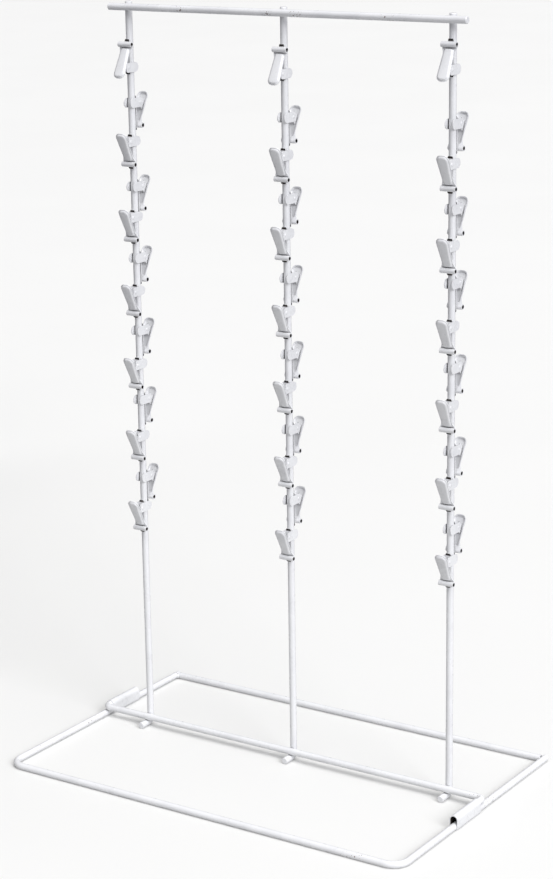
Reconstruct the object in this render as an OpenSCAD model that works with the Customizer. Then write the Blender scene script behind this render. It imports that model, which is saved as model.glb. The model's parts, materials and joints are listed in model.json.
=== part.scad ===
// Free-standing wire stand: a floor frame carries an upright of three rods, and each rod
// carries a column of sprung clips, one header clip above rows that alternate front and back.
// X runs across the stand, +Y to its back and +Z up. The origin is on the floor, under the
// middle of the floor frame. Clips are drawn with the rod along Z and the clip towards -Y.

/* [Wire] */
// Diameter of every structural wire
wire_d = 6.35; // [5.2:0.01:7.65]
// Centre-line radius of the tight bends: the lower bar's ends and the rods' feet
bend_r = 5; // [4.2:0.1:8]

/* [Floor frame] */
// Width between the centre lines of the side arms
base_w = 419; // [350:1:505]
// Depth between the centre lines of the front run and the rear bar
base_d = 266; // [220:1:320]
// Centre-line radius of the front corners
corner_r = 14; // [10:0.5:24]
// Length of each arm past the rear bar's centre line
arm_tail = 2.7; // [1:0.1:6]

/* [Upright] */
// Height of the rods' top ends
stand_h = 694; // [640:1:835]
// Distance between neighbouring rods
rod_pitch = 165.7; // [135:0.1:172]
// Sideways offset of the middle rod
rod_shift = 6; // [-8:0.5:8]
// Distance of the rods behind the frame's middle
rod_y = 20; // [5:1:35]
// Length of each rod's foot, from the rod's centre line
foot_len = 16; // [14:0.5:24]
// Length of top bar past each outer rod
top_overhang = 17; // [8:0.5:25]
// Drop of top bar's centre line below the rods' ends
top_drop = 4.8; // [3.5:0.1:8]

/* [Sleeves] */
// Length of each locking sleeve
sleeve_len = 42; // [34:1:52]
// Sheet thickness of the sleeves
sleeve_t = 0.9; // [0.6:0.1:1.4]
// Radial gap between a sleeve and the wires in it
sleeve_gap = 0.08; // [0.05:0.01:0.1]
// Length of the lower bar's turned ends, from its centre line
prong_len = 42; // [30:1:52]
// Where the left and the right sleeve stop, past the end of the lower bar's bend
sleeve_setback = [2, 6.6];

/* [Clip rows] */
// Clips on each side of a rod
rows = 6; // [2:1:6]
// Height of the lowest front jaw
low_jaw = 201.5; // [120:0.5:205]
// Distance from the highest front jaw to the rods' ends
top_room = 146; // [140:1:170]
// Height of each back jaw above the front jaw below it
back_rise = 31.5; // [30:0.5:34]
// Drop of the three header jaws below the rods' ends
header_drop = [38, 36, 25];
// Clips are crimped on by hand: how far each rod's front clips sit off the even spacing
front_drift = [0, -2, 2];
// The same for each back clip, lowest first, for each rod
back_drift = [[-3, 3, 0, -1, -4, 3], [-1, -4, -4, -4, -3, -1], [-2, -1, 3, 7, 1, 3]];

/* [Clip] */
// Length of the rolled jaw
jaw_w = 14.4; // [12:0.1:17]
// Outer diameter of the rolled jaw
jaw_d = 4.8; // [4:0.1:5.6]
// Length of the lever from the jaw's centre to the end of its thumb tab
lever_len = 31.5; // [28:0.5:35]
// Width of the thumb tab near its end
tab_w = 12; // [10:0.1:14]
// Width of the thumb tab where it leaves the jaw plate
waist_w = 9.4; // [8.6:0.1:11]
// Angle between the closed lever and its rod
lean = 26; // [20:1:28]
// Sheet thickness of the lever and the saddle
sheet_t = 0.7; // [0.5:0.01:0.85]
// Height of the pivot above the jaw
pivot_rise = 20.5; // [19:0.5:22]
// Distance from the rod's surface to the pivot
pivot_gap = 4.8; // [4.4:0.1:5.4]
// Diameter of the pivot pin
pin_d = 2; // [1.6:0.1:2.4]
// Wire diameter of the torsion spring
spring_d = 0.7; // [0.5:0.05:0.8]

/* [Hidden] */
$fn = 48;
eps = 0.01;
wire_r = wire_d / 2;
arm_x = base_w / 2;
front_y = -base_d / 2;
rear_y = base_d / 2;
touch = 0.05;
bar_y = rod_y - wire_d - touch;
bar_z = wire_r + wire_d + touch;
top_z = stand_h - top_drop;
body_gap = 0.3;
tongue_y = wire_r + 0.03;
cheek_x = wire_r + 0.08;
saddle_w = 2 * (cheek_x + sheet_t);
saddle_top = pivot_rise + 4.5;
saddle_low = pivot_rise - 4.2;
saddle_back = wire_r + 3.5;
crimp_y = wire_r - 0.5;
jaw_r = jaw_d / 2;
jaw_y = tongue_y + sheet_t + body_gap + jaw_r;
pivot_y = wire_r + pivot_gap;
lug_x = cheek_x - body_gap - sheet_t;
coil_r = pin_d / 2 + 0.35 + spring_d / 2;
coil_turns = 5;
coil_pitch = 0.9 * spring_d;
clip_pitch = (stand_h - low_jaw - top_room) / (rows - 1);
steel = [0.93, 0.93, 0.95];
zinc = [0.72, 0.73, 0.75];

sides = ["left", "middle", "right"];
places = concat(["header"], [for (k = [1:rows]) str("front_", k)], [for (k = [1:rows]) str("back_", k)]);

function rod_x(side) = rod_shift + (side - 1) * rod_pitch;
function on_back(place) = place > rows;
function row_up(place) = rows - (on_back(place) ? place - rows : place);
function jaw_z(side, place) =
    place == 0 ? stand_h - header_drop[side]
    : on_back(place) ? low_jaw + back_rise + row_up(place) * clip_pitch + back_drift[side][row_up(place)]
    : low_jaw + row_up(place) * clip_pitch + front_drift[side];
function clip_turn(place) = place == 0 ? [0, 180, 0] : [0, 0, on_back(place) ? 180 : 0];
function lever_name(side, place) = str("lever_", sides[side], "_", places[place]);

// The pivot seen from the lever's own frame, which starts at the jaw and leans with the tab
lug_y = pivot_rise * sin(lean) - (pivot_y - jaw_y) * cos(lean);
lug_z = pivot_rise * cos(lean) + (pivot_y - jaw_y) * sin(lean);

// ---- wires ----

module wire(length) {
    cylinder(d = wire_d, h = length);
}

// A cropped wire end: the last half millimetre is broken to a cone
module wire_tip() {
    cylinder(d1 = wire_d, d2 = wire_d - 1, h = 0.5);
}

module bend(radius, from, sweep) {
    rotate([0, 0, from])
        rotate_extrude(angle = sweep, $fn = 96)
            translate([radius, 0]) circle(d = wire_d);
}

// A straight run along Y from y0 to y1
module run_y(y0, y1) {
    translate([0, y0, 0]) rotate([-90, 0, 0]) wire(y1 - y0);
}

// A straight run along X, centred
module run_x(length) {
    translate([-length / 2, 0, 0]) rotate([0, 90, 0]) wire(length);
}

module base_wire() {
    inner = arm_x - corner_r;
    arm_end = rear_y + arm_tail;
    color(steel) translate([0, 0, wire_r]) {
        translate([0, front_y, 0]) run_x(2 * inner);
        for (side = [-1, 1]) {
            translate([side * inner, front_y + corner_r, 0]) bend(corner_r, side < 0 ? 180 : 270, 90);
            translate([side * arm_x, 0, 0]) run_y(front_y + corner_r, arm_end);
            translate([side * arm_x, arm_end, 0]) rotate([-90, 0, 0]) wire_tip();
        }
    }
}

module rear_bar() {
    color(steel) translate([0, rear_y, wire_r]) run_x(base_w - wire_d - 2 * touch);
}

module lower_bar() {
    inner = arm_x - bend_r;
    color(steel) translate([0, bar_y, bar_z]) {
        run_x(2 * inner);
        for (turn = [0, 180]) rotate([0, 0, turn]) {
            translate([-inner, bend_r, 0]) bend(bend_r, 180, 90);
            translate([-arm_x, 0, 0]) run_y(bend_r, prong_len);
            translate([-arm_x, prong_len, 0]) rotate([-90, 0, 0]) wire_tip();
        }
    }
}

module rod(side) {
    color(steel) translate([rod_x(side), rod_y, 0]) {
        translate([0, 0, wire_r + bend_r]) wire(stand_h - 0.5 - wire_r - bend_r);
        translate([0, 0, stand_h - 0.5]) wire_tip();
        translate([0, -bend_r, wire_r + bend_r]) rotate([90, 0, 90]) bend(bend_r, 270, 90);
        translate([0, 0, wire_r]) run_y(-foot_len, -bend_r);
        translate([0, -foot_len, wire_r]) rotate([90, 0, 0]) wire_tip();
    }
}

module top_bar() {
    length = 2 * (rod_pitch + top_overhang);
    color(steel) translate([rod_shift, bar_y, top_z]) {
        run_x(length - 1);
        for (side = [-1, 1]) translate([side * (length - 1) / 2, 0, 0]) rotate([0, side * 90, 0]) wire_tip();
    }
}

// Beads in the crevices where one wire crosses or meets another
module welds() {
    bead = wire_r / 2;
    color(steel) {
        for (s = [0:2], side = [-1, 1]) {
            translate([rod_x(s) + side * wire_r * 0.75, rod_y - wire_r, top_z]) sphere(r = bead);
            translate([rod_x(s) + side * wire_r * 0.75, rod_y - wire_r, bar_z]) sphere(r = bead);
        }
        for (side = [-1, 1]) translate([side * (arm_x - wire_r), rear_y - wire_r, wire_r]) sphere(r = bead);
    }
}

// ---- locking sleeves ----

// Two stacked rounds joined into a stadium, for a wall at the given radius
module stadium(radius) {
    translate([0, wire_r]) circle(r = radius);
    translate([0, bar_z]) circle(r = radius);
    translate([-radius, wire_r]) square([2 * radius, bar_z - wire_r]);
}

// Sheet wrapped over the prong and down both sides of the arm, with lips under the arm
module sleeve_section() {
    bore = wire_r + sleeve_gap;
    lip = 0.25;
    difference() {
        stadium(bore + sleeve_t);
        stadium(bore);
        translate([-wire_d, lip - wire_d]) square([2 * wire_d, wire_d]);
    }
}

module sleeve(side) {
    near_end = bend_r + sleeve_setback[side < 0 ? 0 : 1];
    color(steel) translate([0, bar_y, 0]) rotate([0, 0, side < 0 ? 0 : 180])
        translate([-arm_x, near_end + sleeve_len, 0])
            rotate([90, 0, 0]) linear_extrude(sleeve_len) sleeve_section();
}

module sleeve_left() {
    sleeve(-1);
}

module sleeve_right() {
    sleeve(1);
}

// ---- clips ----

module at_clip(side, place) {
    translate([rod_x(side), rod_y, jaw_z(side, place)]) rotate(clip_turn(place)) children();
}

module at_each_clip(side) {
    for (place = [0:2 * rows]) at_clip(side, place) children();
}

// Extrudes a (Y, Z) outline to equal depths on both sides of X = 0
module across(width) {
    translate([-width / 2, 0, 0]) rotate([90, 0, 90]) linear_extrude(width) children();
}

// The saddle's cheek from its front edge to the rounded end behind the rod
module cheek_outline() {
    front = -pivot_y - 3;
    round_r = (saddle_top - saddle_low) / 2;
    difference() {
        union() {
            translate([front, saddle_low]) square([saddle_back - round_r - front, 2 * round_r]);
            translate([saddle_back - round_r, saddle_low + round_r]) circle(r = round_r);
        }
        translate([front - 1, saddle_low - 1]) square([1.8, 1.8]);
    }
}

// The end of a cheek, bent in behind the rod
module crimp(side) {
    inner_r = 6;
    sweep = 50;
    translate([side * (cheek_x - inner_r), crimp_y, 0])
        rotate([0, 0, side > 0 ? 0 : 180 - sweep])
            rotate_extrude(angle = sweep)
                translate([inner_r, 0]) square([sheet_t, saddle_top]);
}

// Two cheeks joined by a web in front of the rod, with a narrower tongue down to the jaw
module saddle() {
    tongue_w = 0.66 * saddle_w;
    translate([-saddle_w / 2, -tongue_y - sheet_t, saddle_low])
        cube([saddle_w, sheet_t, saddle_top - saddle_low]);
    translate([-tongue_w / 2, -tongue_y - sheet_t, -jaw_r])
        cube([tongue_w, sheet_t, saddle_low + jaw_r + eps]);
    difference() {
        intersection() {
            across(saddle_w) cheek_outline();
            union() {
                for (side = [-1, 1]) {
                    translate([side * (cheek_x + sheet_t / 2) - sheet_t / 2, -2 * pivot_y, 0])
                        cube([sheet_t, 2 * pivot_y + crimp_y, saddle_top]);
                    crimp(side);
                }
            }
        }
        translate([-saddle_w, -pivot_y, pivot_rise]) rotate([0, 90, 0]) cylinder(d = pin_d, h = 2 * saddle_w);
    }
}

module pin() {
    head_t = 0.5;
    translate([-saddle_w / 2 - 0.3, -pivot_y, pivot_rise]) rotate([0, 90, 0]) {
        cylinder(d = pin_d, h = saddle_w + 0.6);
        translate([0, 0, 0.3 - head_t]) cylinder(d = 1.6 * pin_d, h = head_t);
        translate([0, 0, 0.3 + saddle_w]) cylinder(d = 1.6 * pin_d, h = head_t);
    }
}

// A spring leg: starts on the coil and rises at an angle to the rod
module leg(side_x, tangent, angle, length) {
    translate([side_x, -pivot_y, pivot_rise]) rotate([angle, 0, 0])
        translate([0, tangent * coil_r, 0]) cylinder(d = 0.8 * spring_d, h = length);
}

// Close-wound turns on the pin, one leg behind the thumb tab and one against the saddle
module torsion_spring() {
    half = (coil_turns - 1) / 2 * coil_pitch;
    translate([0, -pivot_y, pivot_rise]) rotate([0, 90, 0]) rotate_extrude()
        for (turn = [0:coil_turns - 1])
            translate([coil_r, turn * coil_pitch - half]) circle(d = spring_d, $fn = 8);
    leg(half, -1, lean + 18, 7);
    leg(-half, 1, -20, 4.2);
}

// The lever's outline in its own plane, jaw at the bottom, drawn in by an inset
module lever_outline(inset, low) {
    round_r = tab_w / 2 * 0.8 - inset;
    top = lever_len - tab_w / 2 * 0.8;
    across_top = tab_w / 2 - tab_w / 2 * 0.8;
    for (side = [-1, 1]) translate([side * across_top, top]) circle(r = round_r);
    polygon([
        [-waist_w / 2 + inset, low],
        [waist_w / 2 - inset, low],
        [tab_w / 2 - inset, top],
        [-tab_w / 2 + inset, top]
    ]);
    translate([-across_top, top]) square([2 * across_top, round_r]);
}

// Stands a flat outline up on the lever: its back face lies at y, and it is thick towards the thumb
module stamped(y, thick) {
    translate([0, y, 0]) rotate([90, 0, 0]) linear_extrude(thick) children();
}

// The pivot ear on one side, with the place where it leaves the plate at base_y
module ear(side, base_y) {
    translate([side * (lug_x + sheet_t / 2), 0, 0]) across(sheet_t) {
        translate([lug_y, lug_z]) circle(r = pin_d / 2 + 1);
        polygon([
            [base_y, lug_z - 5],
            [base_y, lug_z + 5],
            [lug_y, lug_z + pin_d / 2 + 1],
            [lug_y, lug_z - pin_d / 2 - 1]
        ]);
    }
}

// A rolled jaw, a plate that widens to it, and a thumb panel pressed out of the plate
module lever(side, place) {
    border = 0.9;
    raise = 1.2;
    jaw_plate_h = 8.5;
    panel_low = jaw_r + 0.6;
    color(steel) at_clip(side, place) translate([0, -jaw_y, 0]) rotate([lean, 0, 0]) difference() {
        union() {
            difference() {
                union() {
                    rotate([0, 90, 0]) cylinder(r = jaw_r, h = jaw_w, center = true);
                    stamped(jaw_r, sheet_t) lever_outline(0, 0);
                    stamped(jaw_r, sheet_t) polygon([
                        [-jaw_w / 2, 0],
                        [jaw_w / 2, 0],
                        [waist_w / 2, jaw_plate_h],
                        [-waist_w / 2, jaw_plate_h]
                    ]);
                    stamped(jaw_r - sheet_t + eps, raise) lever_outline(border, panel_low);
                }
                stamped(jaw_r + eps, raise + eps) lever_outline(border + sheet_t, panel_low + sheet_t);
            }
            for (ear_side = [-1, 1]) ear(ear_side, jaw_r - raise - 0.1);
        }
        rotate([0, 90, 0]) cylinder(r = jaw_r - sheet_t, h = 2 * jaw_w, center = true);
        translate([0, lug_y, lug_z]) rotate([0, 90, 0])
            cylinder(r = pin_d / 2 + 0.06, h = jaw_w, center = true);
    }
}

module saddles(side) {
    color(steel) at_each_clip(side) saddle();
}

module pins(side) {
    color(zinc) at_each_clip(side) pin();
}

module springs(side) {
    color(zinc) at_each_clip(side) torsion_spring();
}

base_wire();
rear_bar();
lower_bar();
sleeve_left();
sleeve_right();
rod(0);  // rod_left
rod(1);  // rod_middle
rod(2);  // rod_right
top_bar();
welds();
for (s = [0:2]) saddles(s);
for (s = [0:2]) pins(s);
for (s = [0:2]) springs(s);
for (s = [0:2], p = [0:2 * rows]) lever(s, p);
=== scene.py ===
import json
import math
import random
import bpy
from mathutils import Matrix, Vector, noise


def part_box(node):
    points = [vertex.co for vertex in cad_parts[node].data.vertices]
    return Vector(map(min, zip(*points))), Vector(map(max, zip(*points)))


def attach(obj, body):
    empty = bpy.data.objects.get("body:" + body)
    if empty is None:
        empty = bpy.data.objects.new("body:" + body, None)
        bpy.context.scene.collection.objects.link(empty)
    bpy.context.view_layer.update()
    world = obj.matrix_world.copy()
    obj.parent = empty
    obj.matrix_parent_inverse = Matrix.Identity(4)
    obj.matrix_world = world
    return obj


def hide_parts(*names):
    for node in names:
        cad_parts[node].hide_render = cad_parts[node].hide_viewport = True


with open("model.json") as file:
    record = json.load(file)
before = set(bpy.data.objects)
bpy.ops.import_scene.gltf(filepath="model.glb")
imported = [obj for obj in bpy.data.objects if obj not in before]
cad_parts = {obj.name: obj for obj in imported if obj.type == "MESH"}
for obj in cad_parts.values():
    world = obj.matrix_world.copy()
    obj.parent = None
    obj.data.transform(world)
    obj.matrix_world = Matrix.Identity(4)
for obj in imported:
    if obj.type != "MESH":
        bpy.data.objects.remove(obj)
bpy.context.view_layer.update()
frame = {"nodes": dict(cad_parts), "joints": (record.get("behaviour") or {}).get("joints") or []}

MM = 0.001
SIDES = ("left", "middle", "right")

# ---- sizes, in millimetres: the wire and the jaw's width from the frame, the rest given ----

def size_mm(node, axis):
    low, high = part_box(node)
    return (high - low)[axis] / MM


WIRE_R = size_mm("rear_bar", 2) / 2
JAW_W = size_mm("lever_left_front_1", 0)

# The lever: a rolled jaw, a waist above it, and a thumb tab with a rounded end
SHEET = 0.7
JAW_R = 2.4
LEVER_LEN = 31.5
TAB_W = 12.0
WAIST_W = 9.4
TAB_END_R = TAB_W / 2 * 0.8
TAB_END_Z = LEVER_LEN - TAB_END_R
LEAN = math.radians(26)

# The saddle: cheeks beside the rod, a tongue along its face, and the pivot in front of it
PIVOT_RISE = 20.5
PIVOT_Y = WIRE_R + 4.8
TONGUE_Y = WIRE_R + 0.03
JAW_Y = TONGUE_Y + SHEET + 0.3 + JAW_R
CHEEK_X = WIRE_R + 0.08
CHEEK_LOW = PIVOT_RISE - 4.2
CHEEK_HIGH = PIVOT_RISE + 4.5
EAR_X = CHEEK_X - 0.3 - SHEET / 2

# Pin and spring
PIN_R = 1.0
SPRING_R = 0.35
COIL_R = PIN_R + 0.35 + SPRING_R

# Locking sleeve
SLEEVE_SHEET = 0.9
SLEEVE_BORE = WIRE_R + 0.08
SLEEVE_LIP = 0.3


# ---- mesh helpers ----

def full_turn(steps):
    return [2 * math.pi * k / steps for k in range(steps)]


class Mesh:
    """Vertices in millimetres and faces, gathered before they become one object.
    hollow lists the faces that take the near-black material: partly bare steel, partly painted shade."""

    def __init__(self):
        self.points = []
        self.faces = []
        self.hollow = []

    def add(self, points, faces):
        start = len(self.points)
        self.points += [Vector(p) for p in points]
        self.faces += [tuple(start + i for i in f) for f in faces]

    def grid(self, rows, close_across=False, close_along=False):
        """Quads over rows of equal length. Closing joins the last column or row to the first."""
        n = len(rows[0])
        points = [p for row in rows for p in row]
        last_row = len(rows) if close_along else len(rows) - 1
        last_col = n if close_across else n - 1
        faces = []
        for j in range(last_row):
            below, above = j * n, (j + 1) % len(rows) * n
            for i in range(last_col):
                k = (i + 1) % n
                faces.append((below + i, below + k, above + k, above + i))
        self.add(points, faces)

    def shell(self, rows, thick, hollow_front=0, hollow_back=0):
        """A sheet of the given thickness about the middle surface in rows, with a closed rim.
        The first hollow_front or hollow_back rows of quads on that side take the near-black material,
        which is partly bare steel and partly painted shade."""
        ny, nx = len(rows), len(rows[0])
        first, half = len(self.faces), (ny - 1) * (nx - 1)
        self.hollow += range(first, first + hollow_front * (nx - 1))
        self.hollow += range(first + half, first + half + hollow_back * (nx - 1))
        front, back = [], []
        too_short = 1e-9
        for j in range(ny):
            front.append([])
            back.append([])
            for i in range(nx):
                along = rows[min(j + 1, ny - 1)][i] - rows[max(j - 1, 0)][i]
                across = rows[j][min(i + 1, nx - 1)] - rows[j][max(i - 1, 0)]
                normal = across.cross(along)
                if normal.length < too_short:
                    inner = rows[max(j - 1, 0)]
                    across = inner[-1] - inner[0]
                    normal = across.cross(along)
                normal.normalize()
                front[j].append(rows[j][i] - normal * thick / 2)
                back[j].append(rows[j][i] + normal * thick / 2)
        start, far = len(self.points), ny * nx
        self.grid(front)
        self.grid(back)
        self.faces[-half:] = [f[::-1] for f in self.faces[-half:]]
        edge = [(0, i) for i in range(nx)] + [(j, nx - 1) for j in range(1, ny)]
        edge += [(ny - 1, i) for i in range(nx - 2, -1, -1)]
        edge += [(j, 0) for j in range(ny - 2, 0, -1)]
        for (j0, i0), (j1, i1) in zip(edge, edge[1:] + edge[:1]):
            a, b = start + j0 * nx + i0, start + j1 * nx + i1
            self.faces.append((b, a, a + far, b + far))

    def round_bar(self, rings):
        """A solid through rings of points, with flat ends."""
        start, sides = len(self.points), len(rings[0])
        last = start + (len(rings) - 1) * sides
        self.grid(rings, close_across=True)
        self.faces.append(tuple(start + i for i in range(sides))[::-1])
        self.faces.append(tuple(last + i for i in range(sides)))

    def tube(self, path, radius, sides):
        """A round wire along path, with flat ends."""
        never_ahead = Vector((0.13, 0.31, 0.94))
        turn = full_turn(sides)
        rings = []
        for k, p in enumerate(path):
            ahead = (path[min(k + 1, len(path) - 1)] - path[max(k - 1, 0)]).normalized()
            side = ahead.cross(never_ahead).normalized()
            up = side.cross(ahead)
            rings.append([p + (side * math.cos(a) + up * math.sin(a)) * radius for a in turn])
        self.round_bar(rings)

    def lathe_x(self, profile, centre, sides=20):
        """A solid of revolution about an axis along X. profile is (x, radius) pairs."""
        turn = full_turn(sides)
        self.round_bar([[centre + Vector((x, r * math.cos(a), r * math.sin(a))) for a in turn]
                        for x, r in profile])

    def placed(self, matrix):
        """A copy moved by a matrix in millimetres."""
        copy = Mesh()
        copy.points = [matrix @ p for p in self.points]
        copy.faces = list(self.faces)
        copy.hollow = list(self.hollow)
        return copy

    def join(self, other):
        self.hollow += [len(self.faces) + index for index in other.hollow]
        self.add(other.points, other.faces)


def make_object(name, mesh, material, smooth_angle=35, bare_and_shade=None):
    """An object in metres, smooth wherever its faces meet within smooth_angle degrees."""
    data = bpy.data.meshes.new(name)
    data.from_pydata([p * MM for p in mesh.points], [], mesh.faces)
    data.update()
    obj = bpy.data.objects.new(name, data)
    bpy.context.scene.collection.objects.link(obj)
    data.materials.append(material)
    # the second material is near-black: partly bare steel, partly painted shade
    if bare_and_shade:
        data.materials.append(bare_and_shade)
        for index in mesh.hollow:
            data.polygons[index].material_index = 1
    for polygon in data.polygons:
        polygon.use_smooth = True
    data.set_sharp_from_angle(angle=math.radians(smooth_angle))
    return obj


def blend_step(t):
    """0 up to t = 0, 1 from t = 1, and smooth between."""
    t = max(0.0, min(1.0, t))
    return t * t * (3 - 2 * t)


# ---- materials ----

def set_range(node, low, high, to_low, to_high):
    for key, value in (("From Min", low), ("From Max", high), ("To Min", to_low), ("To Max", to_high)):
        node.inputs[key].default_value = value


class Nodes:
    """Short calls for building one material's node tree."""

    def __init__(self, name):
        self.material = bpy.data.materials.new(name)
        self.material.use_nodes = True
        self.tree = self.material.node_tree
        self.shader = self.tree.nodes["Principled BSDF"]
        self.place = self.new("ShaderNodeTexCoord").outputs["Object"]

    def new(self, kind, **settings):
        node = self.tree.nodes.new(kind)
        for key, value in settings.items():
            setattr(node, key, value)
        return node

    def link(self, source, target):
        self.tree.links.new(source, target)

    def noise(self, scale, detail=2.0, rough=0.5, stretch=None):
        node = self.new("ShaderNodeTexNoise")
        node.inputs["Scale"].default_value = scale
        node.inputs["Detail"].default_value = detail
        node.inputs["Roughness"].default_value = rough
        where = self.place
        if stretch:
            mapping = self.new("ShaderNodeMapping")
            mapping.inputs["Scale"].default_value = stretch
            self.link(self.place, mapping.inputs["Vector"])
            where = mapping.outputs["Vector"]
        self.link(where, node.inputs["Vector"])
        return node.outputs["Fac"]

    def ramp(self, source, low, high, to_low=0.0, to_high=1.0):
        """Smoothly from to_low where the source is low to to_high where it is high."""
        node = self.new("ShaderNodeMapRange", interpolation_type="SMOOTHSTEP")
        set_range(node, low, high, to_low, to_high)
        self.link(source, node.inputs["Value"])
        return node.outputs["Result"]

    def math(self, operation, a, b):
        node = self.new("ShaderNodeMath", operation=operation)
        for socket, value in zip(node.inputs, (a, b)):
            if isinstance(value, (int, float)):
                socket.default_value = value
            else:
                self.link(value, socket)
        return node.outputs[0]

    def mix(self, factor, a, b):
        node = self.new("ShaderNodeMix", data_type="RGBA")
        self.link(factor, node.inputs["Factor"])
        for socket, value in ((node.inputs["A"], a), (node.inputs["B"], b)):
            if isinstance(value, tuple):
                socket.default_value = (*value, 1.0)
            else:
                self.link(value, socket)
        return node.outputs["Result"]

    def near(self, centre, radius):
        """1 at a place in the stand's frame, falling to 0 at the radius."""
        node = self.new("ShaderNodeVectorMath", operation="DISTANCE")
        self.link(self.place, node.inputs[0])
        node.inputs[1].default_value = centre
        return self.ramp(node.outputs["Value"], 0.25 * radius, radius, 1.0, 0.0)

    def crevices(self, reach, low, high, most):
        """Painted shade: up to most where surfaces within reach close a place in, and 0 in the open.
        """
        node = self.new("ShaderNodeAmbientOcclusion", samples=6)
        node.inputs["Distance"].default_value = reach
        return self.ramp(node.outputs["AO"], low, high, most, 0.0)

    def bump(self, source, strength, distance, under=None):
        node = self.new("ShaderNodeBump")
        node.inputs["Strength"].default_value = strength
        node.inputs["Distance"].default_value = distance
        self.link(source, node.inputs["Height"])
        if under:
            self.link(under, node.inputs["Normal"])
        return node.outputs["Normal"]


# Powder coat, what shows in it, and the painted shade in its crevices
COAT_LIGHT = (0.84, 0.84, 0.855)
COAT_DULL = (0.77, 0.77, 0.79)
SCUFF = (0.34, 0.31, 0.29)
RUST = (0.10, 0.045, 0.022)
# painted shade: dark where surfaces close in, near-black in the deepest crevices
CREVICE_SHADE = (0.09, 0.085, 0.09)
DEEP_CREVICE_SHADE = (0.012, 0.011, 0.012)

# Zinc plating
ZINC_BRIGHT = (0.74, 0.75, 0.77)
ZINC_DULL = (0.50, 0.51, 0.54)
ZINC_STAIN = (0.24, 0.20, 0.17)

# Uncoated steel, near-black: partly bare steel, partly painted shade
SHADED_BARE_DARK = (0.016, 0.015, 0.016)
SHADED_BARE_BROWN = (0.05, 0.032, 0.022)


def powder_coat(name, worn_places=(), scuffs=0.74, rare=0.0):
    """Satin white powder coat with orange peel, dulled patches, scuffs and small chips, and painted
    shade: darker where surfaces close in, near-black in the deepest crevices.
    worn_places are (centre, radius, weight) spots where chips gather. A higher scuffs or rare
    makes scuffs or chips rarer."""
    m = Nodes(name)
    tone = m.ramp(m.noise(38, 4), 0.42, 0.72)
    colour = m.mix(tone, COAT_LIGHT, COAT_DULL)
    rub = m.ramp(m.noise(260, 6, 0.62), scuffs, scuffs + 0.06, 0.0, 0.55)
    colour = m.mix(rub, colour, SCUFF)
    chips = m.noise(620, 5, 0.6)
    wear = None
    for centre, radius, weight in worn_places:
        spot = m.math("MULTIPLY", m.near(centre, radius), weight)
        wear = spot if wear is None else m.math("ADD", wear, spot)
    level = chips if wear is None else m.math("ADD", chips, wear)
    chipped = m.ramp(level, 0.76 + rare, 0.80 + rare)
    colour = m.mix(chipped, colour, RUST)
    shade_reach, deep_shade_reach = 0.0025, 0.006
    # painted shade from ambient occlusion: darker where surfaces close in, near-black in the deepest
    # crevices
    colour = m.mix(m.crevices(shade_reach, 0.10, 0.55, 0.6), colour, CREVICE_SHADE)
    colour = m.mix(m.crevices(deep_shade_reach, 0.04, 0.25, 0.95), colour, DEEP_CREVICE_SHADE)
    m.link(colour, m.shader.inputs["Base Color"])
    gloss = m.ramp(m.noise(150, 3), 0.3, 0.75, 0.24, 0.42)
    m.link(m.math("MAXIMUM", gloss, m.math("MULTIPLY", chipped, 0.8)), m.shader.inputs["Roughness"])
    peel_height, chip_depth = 0.00006, -0.00004
    peel = m.bump(m.noise(1100, 2), 0.35, peel_height)
    m.link(m.bump(level, 0.25, chip_depth, peel), m.shader.inputs["Normal"])
    m.shader.inputs["Coat Weight"].default_value = 0.5
    m.shader.inputs["Coat Roughness"].default_value = 0.12
    return m.material


def zinc(name):
    """Dull zinc plating with drawing lines and a few dark stains."""
    m = Nodes(name)
    streak = m.noise(900, 3, 0.6, stretch=(0.25, 1, 1))
    colour = m.mix(m.ramp(streak, 0.35, 0.7), ZINC_BRIGHT, ZINC_DULL)
    stain = m.ramp(m.noise(240, 5), 0.62, 0.7, 0.0, 0.7)
    colour = m.mix(stain, colour, ZINC_STAIN)
    m.link(colour, m.shader.inputs["Base Color"])
    m.shader.inputs["Metallic"].default_value = 1.0
    m.link(m.ramp(streak, 0.3, 0.7, 0.24, 0.46), m.shader.inputs["Roughness"])
    m.link(m.bump(streak, 0.3, 0.00004), m.shader.inputs["Normal"])
    return m.material


def bare_and_shade_inside(name):
    """Near-black steel inside rolls and sleeves and at the tongues' tips, with little coat: partly
    bare steel and partly painted shade in the insides, and painted shade at the tongues' tips.
    """
    m = Nodes(name)
    patch = m.ramp(m.noise(420, 4, 0.6), 0.4, 0.7)
    m.link(m.mix(patch, SHADED_BARE_DARK, SHADED_BARE_BROWN), m.shader.inputs["Base Color"])
    m.link(m.ramp(patch, 0, 1, 0.55, 0.85), m.shader.inputs["Roughness"])
    m.link(m.bump(patch, 0.3, 0.00005), m.shader.inputs["Normal"])
    return m.material


def middle(node):
    low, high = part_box(node)
    return (low + high) / 2


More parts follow.
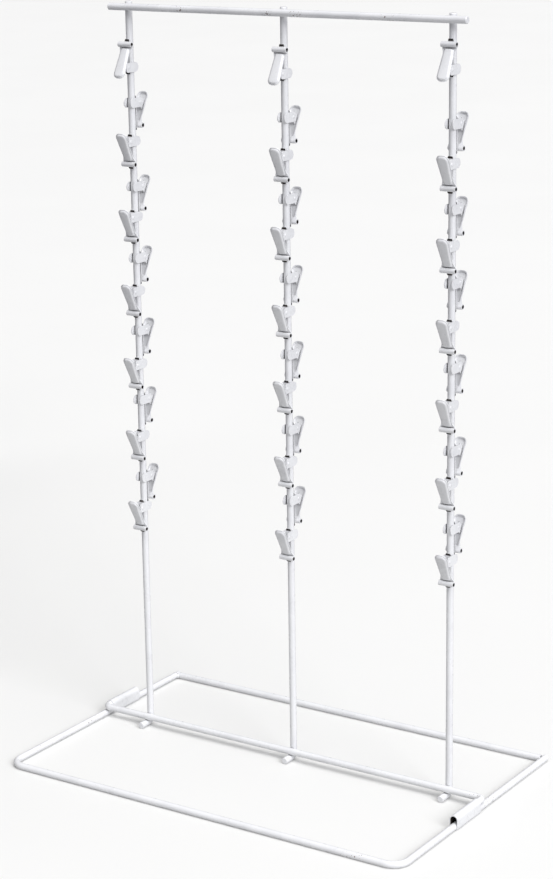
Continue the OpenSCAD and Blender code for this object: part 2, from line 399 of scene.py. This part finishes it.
def wear_spots():
    """Places in metres where the coat has chipped, as (centre, radius, weight)."""
    base_low, base_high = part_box("base_wire")
    bar_low, bar_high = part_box("lower_bar")
    top_low, top_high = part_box("top_bar")
    right_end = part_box("sleeve_right")[1].y
    left_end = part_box("sleeve_left")[0].y
    mid_z, upper_z = 0.003, 0.004
    side_arms = [
        ((base_high.x, right_end + 0.02, mid_z), 0.03, 0.16),
        ((base_low.x, left_end - 0.03, mid_z), 0.03, 0.14),
    ]
    corners = [
        ((base_low.x, base_low.y + 0.04, upper_z), 0.035, 0.12),
        ((base_low.x, base_high.y, upper_z), 0.02, 0.18),
        ((base_high.x - 0.05, base_low.y, mid_z), 0.03, 0.14),
    ]
    lower_bar = [((bar_high.x - 0.02, bar_low.y + 0.045, bar_high.z), 0.018, 0.07)]
    top_bar = []
    for share in (0.22, 0.47, 0.55, 0.8):
        x = top_low.x + (top_high.x - top_low.x) * share
        top_bar.append(((x, top_low.y, top_low.z), 0.014, 0.17))
    return side_arms + corners + lower_bar + top_bar


# ---- clips ----

def lever_half_width(z):
    """Half the lever's width at a height above the jaw's centre: it flares to the jaw."""
    if z > TAB_END_Z:
        over = math.sqrt(max(0.0, TAB_END_R ** 2 - (z - TAB_END_Z) ** 2))
        return TAB_W / 2 - TAB_END_R + over
    straight = WAIST_W / 2 + (TAB_W - WAIST_W) / 2 * max(0.0, z) / TAB_END_Z
    flare_h = 8.5
    flare = blend_step(1 - z / flare_h) if z < flare_h else 0.0
    return straight + (JAW_W / 2 - straight) * flare


def panel_raise(x, z):
    """How far the thumb panel stands out of the plate: a pillow with rounded edges."""
    border, flank, height, crown = 0.7, 0.95, 1.25, 0.3
    panel_low = JAW_R + 0.7
    corner_r = 1.3
    half = WAIST_W / 2 + (TAB_W - WAIST_W) / 2 * min(z, TAB_END_Z) / TAB_END_Z
    side = half - abs(x)
    if z > TAB_END_Z:
        over = max(0.0, abs(x) - (TAB_W / 2 - TAB_END_R))
        side = TAB_END_R - math.hypot(over, z - TAB_END_Z)
    bottom = z - panel_low + border
    rounding = max(0.0, corner_r - abs(side - bottom)) ** 2 / (4 * corner_r)
    inside = min(side, bottom) - rounding
    rise = blend_step((inside - border) / flank)
    dome = 1 - (x / half) ** 2
    return height * rise + crown * rise * dome


def lever_mesh(rng):
    """A rolled jaw and the plate that rises from it, as one formed sheet with two pivot ears."""
    columns, roll_rows, plate_rows = 27, 26, 35
    across = [math.sin(math.pi / 2 * (2 * i / (columns - 1) - 1)) for i in range(columns)]
    most_bow = 0.15
    bow = rng.uniform(-most_bow, most_bow)
    roll_r = JAW_R - SHEET / 2
    roll_sweep = math.radians(338)
    rows = []
    for k in range(roll_rows):
        a = roll_sweep * (1 - k / roll_rows)
        y, z = roll_r * math.cos(a), -roll_r * math.sin(a)
        rows.append([Vector((u * JAW_W / 2, y, z)) for u in across])
    heights = [TAB_END_Z * (k / (plate_rows - 1)) for k in range(plate_rows)]
    closer_to_end = (12, 24, 36, 47, 57, 66, 74, 81, 86, 90)
    heights += [TAB_END_Z + TAB_END_R * math.sin(math.radians(a)) for a in closer_to_end]
    for z in heights:
        half = lever_half_width(z)
        bowed = bow * math.sin(math.pi * z / LEVER_LEN)
        rows.append([Vector((u * half, roll_r - panel_raise(u * half, z) + bowed, z)) for u in across])
    mesh = Mesh()
    # the roll's inside takes the near-black material: partly bare steel, partly painted shade
    mesh.shell(rows, SHEET, hollow_back=roll_rows)
    for side in (-1, 1):
        mesh.join(ear_mesh(side))
    return mesh


def ear_outline(hole_r, round_r, foot, reach):
    """(y, z) rings about the pin's axis: the hole, and the ear's edge, round at +Y and widening
    towards -Y to a straight foot, which stands at reach and runs foot above and below the pin."""
    corner = math.atan2(foot, reach)
    angles = [math.pi * k / 12 - math.pi / 2 for k in range(13)]
    angles += [math.pi / 2 + (math.pi / 2 - corner) * k / 5 for k in range(1, 6)]
    angles += [math.pi - corner + 2 * corner * k / 6 for k in range(1, 7)]
    angles += [math.pi + corner + (math.pi / 2 - corner) * k / 5 for k in range(1, 5)]
    slope = (foot - round_r) / reach
    hole, edge = [], []
    for a in angles:
        c, s = math.cos(a), math.sin(a)
        r = round_r
        if c < -1e-9:
            steepness = abs(s) + slope * c
            r = reach / -c
            if steepness > 1e-6:
                r = min(r, round_r / steepness)
        hole.append((hole_r * c, hole_r * s))
        edge.append((r * c, r * s))
    return hole, edge


def ear_mesh(side):
    """A pivot ear: a plate from behind the panel to the pin, rounded about the pin's hole."""
    pin_y = PIVOT_RISE * math.sin(LEAN) - (PIVOT_Y - JAW_Y) * math.cos(LEAN)
    pin_z = PIVOT_RISE * math.cos(LEAN) + (PIVOT_Y - JAW_Y) * math.sin(LEAN)
    panel_back = JAW_R - 1.3
    foot_half = 5.0
    hole, edge = ear_outline(PIN_R + 0.06, PIN_R + 1.0, foot_half, pin_y - panel_back)
    rows = []
    for ring, x in ((hole, -1), (edge, -1), (edge, 1), (hole, 1)):
        rows.append([Vector((side * EAR_X + x * SHEET / 2, pin_y + y, pin_z + z)) for y, z in ring])
    mesh = Mesh()
    mesh.grid(rows, close_across=True, close_along=True)
    return mesh


def lever_place():
    """From the lever's own frame to the clip's."""
    return Matrix.Translation((0, -JAW_Y, 0)) @ Matrix.Rotation(LEAN, 4, "X")


def cheek_rows(side):
    """A cheek's middle surface: a small round at each front corner and a full round at the back."""
    mid, half = (CHEEK_LOW + CHEEK_HIGH) / 2, (CHEEK_HIGH - CHEEK_LOW) / 2
    x = side * (CHEEK_X + SHEET / 2)
    front, back = -PIVOT_Y - 3, WIRE_R + 3.5
    nose_r = 2.2
    nose_end, round_start = front + nose_r, back - half
    closer_to_end = (0, 15, 30, 42, 53, 62, 70, 77, 83, 87)
    steps = [front + nose_r * (1 - math.cos(math.radians(a))) for a in range(0, 90, 15)]
    steps += [nose_end + (round_start - nose_end) * k / 10 for k in range(10)]
    steps += [round_start + half * math.sin(math.radians(a)) for a in closer_to_end]
    rows = []
    for y in steps:
        tall = half
        if y > round_start:
            tall = math.sqrt(half ** 2 - (y - round_start) ** 2)
        if y < nose_end:
            tall = half - nose_r + math.sqrt(nose_r ** 2 - (nose_end - y) ** 2)
        row = [Vector((x, y, mid + tall * (2 * k / 10 - 1))) for k in range(11)]
        rows.append(row if side > 0 else row[::-1])
    return rows


def add_tongue(mesh, web_y):
    """The strip along the rod's face, slightly narrower at its two tips, which carry painted shade in
    the near-black material.
    """
    half, tip_share = 0.66 * (CHEEK_X + SHEET), 0.8
    tip_low, tip_high = -JAW_R - 2.0, CHEEK_HIGH + 1.8
    taper = 1.2
    lengths, columns, shaded_tip_rows = 32, 8, 2
    rows = []
    for k in range(lengths + 1):
        z = tip_low + (tip_high - tip_low) * k / lengths
        to_tip = min(z - tip_low, tip_high - z)
        wide = half * (tip_share + (1 - tip_share) * blend_step(to_tip / taper))
        rows.append([Vector((wide * (2 * i / columns - 1), web_y, z)) for i in range(columns + 1)])
    front = len(mesh.faces)
    back = front + lengths * columns
    mesh.shell(rows, 1.1 * SHEET)
    per_tip = shaded_tip_rows * columns
    # both tips take the near-black material: painted shade on the rod under and over the jaw
    for first in (front, back):
        mesh.hollow += range(first, first + per_tip)
        mesh.hollow += range(first + lengths * columns - per_tip, first + lengths * columns)


def saddle_mesh():
    """A formed saddle: two cheeks that hold the pin, a web between them, and the tongue."""
    mesh = Mesh()
    for side in (-1, 1):
        mesh.shell(cheek_rows(side), SHEET)
    web_y = -TONGUE_Y - SHEET / 2
    half, tall = CHEEK_X + SHEET / 2, CHEEK_HIGH - CHEEK_LOW
    mesh.shell([[Vector((half * (i / 4 - 1), web_y, CHEEK_LOW + tall * k / 6)) for i in range(9)]
                for k in range(7)], SHEET)
    add_tongue(mesh, web_y)
    return mesh


def pin_mesh():
    """A rivet through both cheeks with low domed heads."""
    mesh = Mesh()
    half = CHEEK_X + SHEET
    head_r, dome = 1.6 * PIN_R, 0.5
    into_cheek, neck = 0.02, 0.2
    end = [(half + dome * math.cos(math.radians(a)), head_r * math.sin(math.radians(a)))
           for a in (8, 25, 45, 62, 78, 90)]
    end.append((half - into_cheek, head_r))
    shaft = [(-half + neck, PIN_R), (half - neck, PIN_R)]
    profile = [(-x, r) for x, r in end] + shaft + end[::-1]
    mesh.lathe_x(profile, Vector((0, -PIVOT_Y, PIVOT_RISE)))
    return mesh


def spring_mesh():
    """A torsion spring: about four and a half turns round the pin, with a leg at each end."""
    pitch, whole_turns, per_turn = 0.66, 4, 18
    centre = Vector((0, -PIVOT_Y, PIVOT_RISE))
    start = math.radians(200)
    stop = math.radians(200 + 360 * whole_turns + 140)
    steps = int((stop - start) / (2 * math.pi) * per_turn)
    path = []
    for k in range(steps + 1):
        share = k / steps
        a = start + (stop - start) * share
        x = (share - 0.5) * whole_turns * pitch
        path.append(centre + Vector((x, COIL_R * math.cos(a), COIL_R * math.sin(a))))
    first = (path[0] - path[1]).normalized()
    last = (path[-1] - path[-2]).normalized()
    long_leg = [path[0] + first * 1.2 + first * 4.5, path[0] + first * 1.2]
    short_leg = [path[-1] + last * 1.0, path[-1] + last * 3.0]
    mesh = Mesh()
    mesh.tube(long_leg + path + short_leg, SPRING_R * 0.95, 7)
    return mesh


def clip_places():
    """(side, lever node, matrix) for each clip: from the clip's frame to the stand's, in mm."""
    to_pivot = Matrix.Translation((0, PIVOT_Y, -PIVOT_RISE))
    for joint in frame["joints"]:
        if joint["type"] != "hinge":
            continue
        name = joint["child"]
        _, side, place = name.split("_", 2)
        turn = Matrix.Identity(4)
        if place == "header":
            turn = Matrix.Rotation(math.pi, 4, "Y")
        elif place.startswith("back"):
            turn = Matrix.Rotation(math.pi, 4, "Z")
        pivot = Vector(joint["pos_m"]) / MM
        yield side, name, Matrix.Translation(pivot) @ turn @ to_pivot


def build_clips(coat, clip_coat, metal, bare_and_shade):
    """39 levers that ride their own bodies, and each column's saddles, pins and springs."""
    rng = random.Random(4)
    joined = {(kind, side): Mesh() for kind in ("saddles", "pins", "springs") for side in SIDES}
    saddle, pin, spring = saddle_mesh(), pin_mesh(), spring_mesh()
    for side, name, place in clip_places():
        lever = lever_mesh(rng).placed(place @ lever_place())
        obj = make_object("stamped_" + name, lever, clip_coat, 50, bare_and_shade)
        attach(obj, name)
        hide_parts(name)
        joined["saddles", side].join(saddle.placed(place))
        joined["pins", side].join(pin.placed(place))
        joined["springs", side].join(spring.placed(place))
    looks = {
        "saddles": (coat, "powder_coat"),
        "pins": (coat, "powder_coat"),
        "springs": (metal, "bare_steel"),
    }
    for (kind, side), mesh in joined.items():
        material, slot = looks[kind]
        obj = make_object(f"formed_{kind}_{side}", mesh, material, 40, bare_and_shade)
        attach(obj, "stand")
        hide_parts(f"{kind}_{side}")


# ---- welds and sleeves ----

def weld_bead(centre, axis, length, radius, seed):
    """A lumpy bead along an axis, fullest in the middle."""
    never_along = Vector((0.2, 0.3, 0.93))
    axis = Vector(axis).normalized()
    side = axis.cross(never_along).normalized()
    up = axis.cross(side)
    lumpiness, end_belly = 0.22, 0.003
    rings = []
    for k in range(11):
        t = k / 10 * 2 - 1
        belly = math.sqrt(max(end_belly, 1 - t * t))
        ring = []
        for i, a in enumerate(full_turn(12)):
            out = side * math.cos(a) + up * math.sin(a)
            lump = 1 + lumpiness * noise.noise(Vector((seed * 3.7, t * 2.4, i * 0.7)))
            ring.append(Vector(centre) + axis * t * length / 2 + out * radius * belly * lump)
        rings.append(ring)
    mesh = Mesh()
    mesh.round_bar(rings)
    return mesh


def build_welds(coat):
    """A bead on each side of a rod where it meets a bar, and one at each end of the rear bar."""
    mesh = Mesh()
    top = middle("top_bar") / MM
    low = middle("lower_bar") / MM
    rear = middle("rear_bar") / MM
    arm_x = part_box("base_wire")[1].x / MM - WIRE_R
    seed = 0
    for side_name in SIDES:
        rod_x = middle("rod_" + side_name).x / MM
        rod_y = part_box("rod_" + side_name)[1].y / MM - WIRE_R
        for z in (top.z, low.z):
            for side in (-1, 1):
                seed += 1
                at = (rod_x + side * WIRE_R * 0.78, rod_y - WIRE_R, z)
                mesh.join(weld_bead(at, (0.25, 0, 1), WIRE_R * 1.5, WIRE_R * 0.42, seed))
    for side in (-1, 1):
        seed += 1
        at = (side * (arm_x - WIRE_R), rear.y - WIRE_R * 0.9, rear.z)
        mesh.join(weld_bead(at, (0, 0.3, 1), WIRE_R * 1.4, WIRE_R * 0.45, seed))
    obj = make_object("weld_beads", mesh, coat, 60)
    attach(obj, "stand")
    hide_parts("welds")


def sleeve_section(lower_z, upper_z):
    """The sheet's middle line about the sleeve's own middle: up one side from a lip that curls
    under the lower wire, over the upper wire, and down the other side."""
    wall = SLEEVE_BORE + SLEEVE_SHEET / 2
    open_half = math.acos(min(1.0, (lower_z - SLEEVE_LIP) / wall))
    rising = []
    for k in range(7):
        a = math.pi + (math.pi / 2 - open_half) * (1 - k / 6)
        rising.append((wall * math.cos(a), lower_z + wall * math.sin(a)))
    for k in range(1, 5):
        rising.append((-wall, lower_z + (upper_z - lower_z) * k / 5))
    arch = []
    for k in range(17):
        a = math.pi - math.pi * k / 16
        arch.append((wall * math.cos(a), upper_z + wall * math.sin(a)))
    return rising + arch + [(-x, z) for x, z in rising[::-1]]


def sleeve_mesh(node):
    """Sheet wrapped over the two stacked wires, open underneath, with faint dents."""
    low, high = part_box(node)
    low, high = low / MM, high / MM
    mid_x = (low.x + high.x) / 2
    section = sleeve_section(WIRE_R, high.z - SLEEVE_SHEET - SLEEVE_BORE)
    steps, dent = 34, 0.01
    rows = []
    for j in range(steps + 1):
        y = low.y + (high.y - low.y) * j / steps
        row = []
        for x, z in section:
            lump = noise.noise(Vector((x * 0.2 + mid_x, y * 0.11, z * 0.3)))
            row.append(Vector((mid_x + x * (1 + dent * lump), y, z)))
        rows.append(row)
    mesh = Mesh()
    # the sleeve's inside takes the near-black material: partly bare steel, partly painted shade
    mesh.shell(rows, SLEEVE_SHEET, hollow_front=steps)
    return mesh


def build_sleeves(coat, bare_and_shade):
    for side in ("left", "right"):
        obj = make_object(f"formed_sleeve_{side}", sleeve_mesh(f"sleeve_{side}"), coat, 50, bare_and_shade)
        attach(obj, f"sleeve_{side}")
        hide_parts(f"sleeve_{side}")


# ---- stage ----

def flat_sheet(name, material, outline):
    data = bpy.data.meshes.new(name)
    data.from_pydata(outline, [], [tuple(range(len(outline)))])
    data.materials.append(material)
    sheet = bpy.data.objects.new(name, data)
    bpy.context.scene.collection.objects.link(sheet)
    return sheet


def floor_paint(name, light, dull):
    m = Nodes(name)
    m.link(m.mix(m.ramp(m.noise(2.2, 3), 0.3, 0.7), light, dull), m.shader.inputs["Base Color"])
    m.shader.inputs["Roughness"].default_value = 0.6
    return m.material


def build_floor():
    """The pale floor, and what lights the stand from below in its place: a round patch near the
    stand, and a dim surround past it, as from a small table in a dark studio."""
    reach = 30.0
    corners = [(-reach, -reach, 0), (reach, -reach, 0), (reach, reach, 0), (-reach, reach, 0)]
    paint = floor_paint("floor_paint", (0.845, 0.84, 0.825), (0.835, 0.83, 0.815))
    floor = flat_sheet("floor", paint, corners)
    floor.visible_diffuse = floor.visible_glossy = floor.visible_shadow = False
    patch_r, patch_x, patch_y, patch_z = 1.15, 0.60, -0.30, -0.0005
    edge = [(patch_x + patch_r * math.cos(a), patch_y + patch_r * math.sin(a), patch_z)
            for a in full_turn(96)]
    paint = floor_paint("bounce_paint", (0.50, 0.50, 0.49), (0.47, 0.47, 0.46))
    patch = flat_sheet("bounce_patch", paint, edge)
    dim_z = -0.001
    paint = floor_paint("dim_paint", (0.10, 0.10, 0.12), (0.08, 0.08, 0.10))
    dim = flat_sheet("dim_surround", paint, [(x, y, dim_z) for x, y, _ in corners])
    for sheet in (patch, dim):
        sheet.visible_camera = sheet.visible_shadow = False


def build_world():
    """A pale studio: bright overhead and to the right, fading to dark low on the left."""
    wall_dark, wall_light = (0.05, 0.05, 0.06, 1), (0.98, 0.99, 1.02, 1)
    world = bpy.data.worlds.new("studio")
    bpy.context.scene.world = world
    world.use_nodes = True
    tree = world.node_tree
    background = tree.nodes["Background"]
    coord = tree.nodes.new("ShaderNodeTexCoord")
    dark_side = tree.nodes.new("ShaderNodeVectorMath")
    dark_side.operation = "DOT_PRODUCT"
    dark_side.inputs[1].default_value = Vector((-0.93, 0.12, -0.35)).normalized()
    tree.links.new(coord.outputs["Generated"], dark_side.inputs[0])
    fade = tree.nodes.new("ShaderNodeMapRange")
    fade.interpolation_type = "SMOOTHSTEP"
    set_range(fade, 0.05, 0.75, 1.0, 0.0)
    tree.links.new(dark_side.outputs["Value"], fade.inputs["Value"])
    mix = tree.nodes.new("ShaderNodeMix")
    mix.data_type = "RGBA"
    mix.inputs["A"].default_value = wall_dark
    mix.inputs["B"].default_value = wall_light
    tree.links.new(fade.outputs["Result"], mix.inputs["Factor"])
    tree.links.new(mix.outputs["Result"], background.inputs["Color"])
    background.inputs["Strength"].default_value = 0.60


def build_flag():
    """A black card curved round the stand's left, which the camera doesn't see: it darkens the
    edges that face left."""
    m = Nodes("flag_cloth")
    m.shader.inputs["Base Color"].default_value = (0.004, 0.004, 0.005, 1)
    m.shader.inputs["Roughness"].default_value = 1.0
    radius, bottom, top = 1150.0, 60.0, 1000.0
    turn = [math.radians(a) for a in range(152, 247, 5)]
    mesh = Mesh()
    mesh.grid([[Vector((radius * math.cos(a), radius * math.sin(a), z)) for a in turn]
               for z in (bottom, top)])
    flag = make_object("flag", mesh, m.material)
    flag.visible_camera = False


def add_sun(name, energy, azimuth, elevation, angle, colour):
    """A soft light from an azimuth to the right of the front and an elevation, in degrees."""
    light = bpy.data.lights.new(name, "SUN")
    light.energy = energy
    light.angle = math.radians(angle)
    light.color = colour
    obj = bpy.data.objects.new(name, light)
    a, e = math.radians(azimuth), math.radians(elevation)
    toward = Vector((math.sin(a) * math.cos(e), -math.cos(a) * math.cos(e), math.sin(e)))
    obj.rotation_mode = "QUATERNION"
    obj.rotation_quaternion = toward.to_track_quat("Z", "Y")
    bpy.context.scene.collection.objects.link(obj)


def build_camera():
    """A long lens from the front right, slightly above the stand."""
    azimuth, elevation, roll = math.radians(33.45), math.radians(15.23), math.radians(-0.88)
    place = (1.08663, -1.63697, 0.84831)
    back = Vector((
        math.sin(azimuth) * math.cos(elevation),
        -math.cos(azimuth) * math.cos(elevation),
        math.sin(elevation)))
    level = (-back).cross(Vector((0, 0, 1))).normalized()
    upward = level.cross(-back)
    right = level * math.cos(roll) + upward * math.sin(roll)
    up = upward * math.cos(roll) - level * math.sin(roll)
    data = bpy.data.cameras.new("camera")
    data.sensor_fit = "AUTO"
    data.sensor_width = 36
    data.lens = 93.19
    data.clip_end = 200
    camera = bpy.data.objects.new("camera", data)
    bpy.context.scene.collection.objects.link(camera)
    turn = Matrix((right, up, back)).transposed().to_4x4()
    camera.matrix_world = Matrix.Translation(place) @ turn
    bpy.context.scene.camera = camera


# ---- assembly ----

wire_coat = powder_coat("powder_coat_wire", wear_spots(), scuffs=0.76)
clip_coat = powder_coat("powder_coat_clips", scuffs=0.72, rare=0.01)
saddle_coat = powder_coat("powder_coat_saddles", scuffs=0.70)
metal = zinc("zinc_plate")
bare_and_shade = bare_and_shade_inside("bare_and_shade_inside")

WIRES = ("base_wire", "rear_bar", "lower_bar", "rod_left", "rod_middle", "rod_right", "top_bar")
for wire_node in WIRES:
    wire = frame["nodes"][wire_node]
    wire.data.materials.clear()
    wire.data.materials.append(wire_coat)

build_clips(saddle_coat, clip_coat, metal, bare_and_shade)
build_welds(wire_coat)
build_sleeves(saddle_coat, bare_and_shade)
build_floor()
build_world()
build_flag()
add_sun("key", 1.8, 70, 32, 30, (0.985, 0.995, 1.02))
add_sun("overhead", 1.3, 20, 78, 50, (1.0, 0.995, 0.98))
build_camera()
bpy.context.scene.view_settings.view_transform = "Standard"
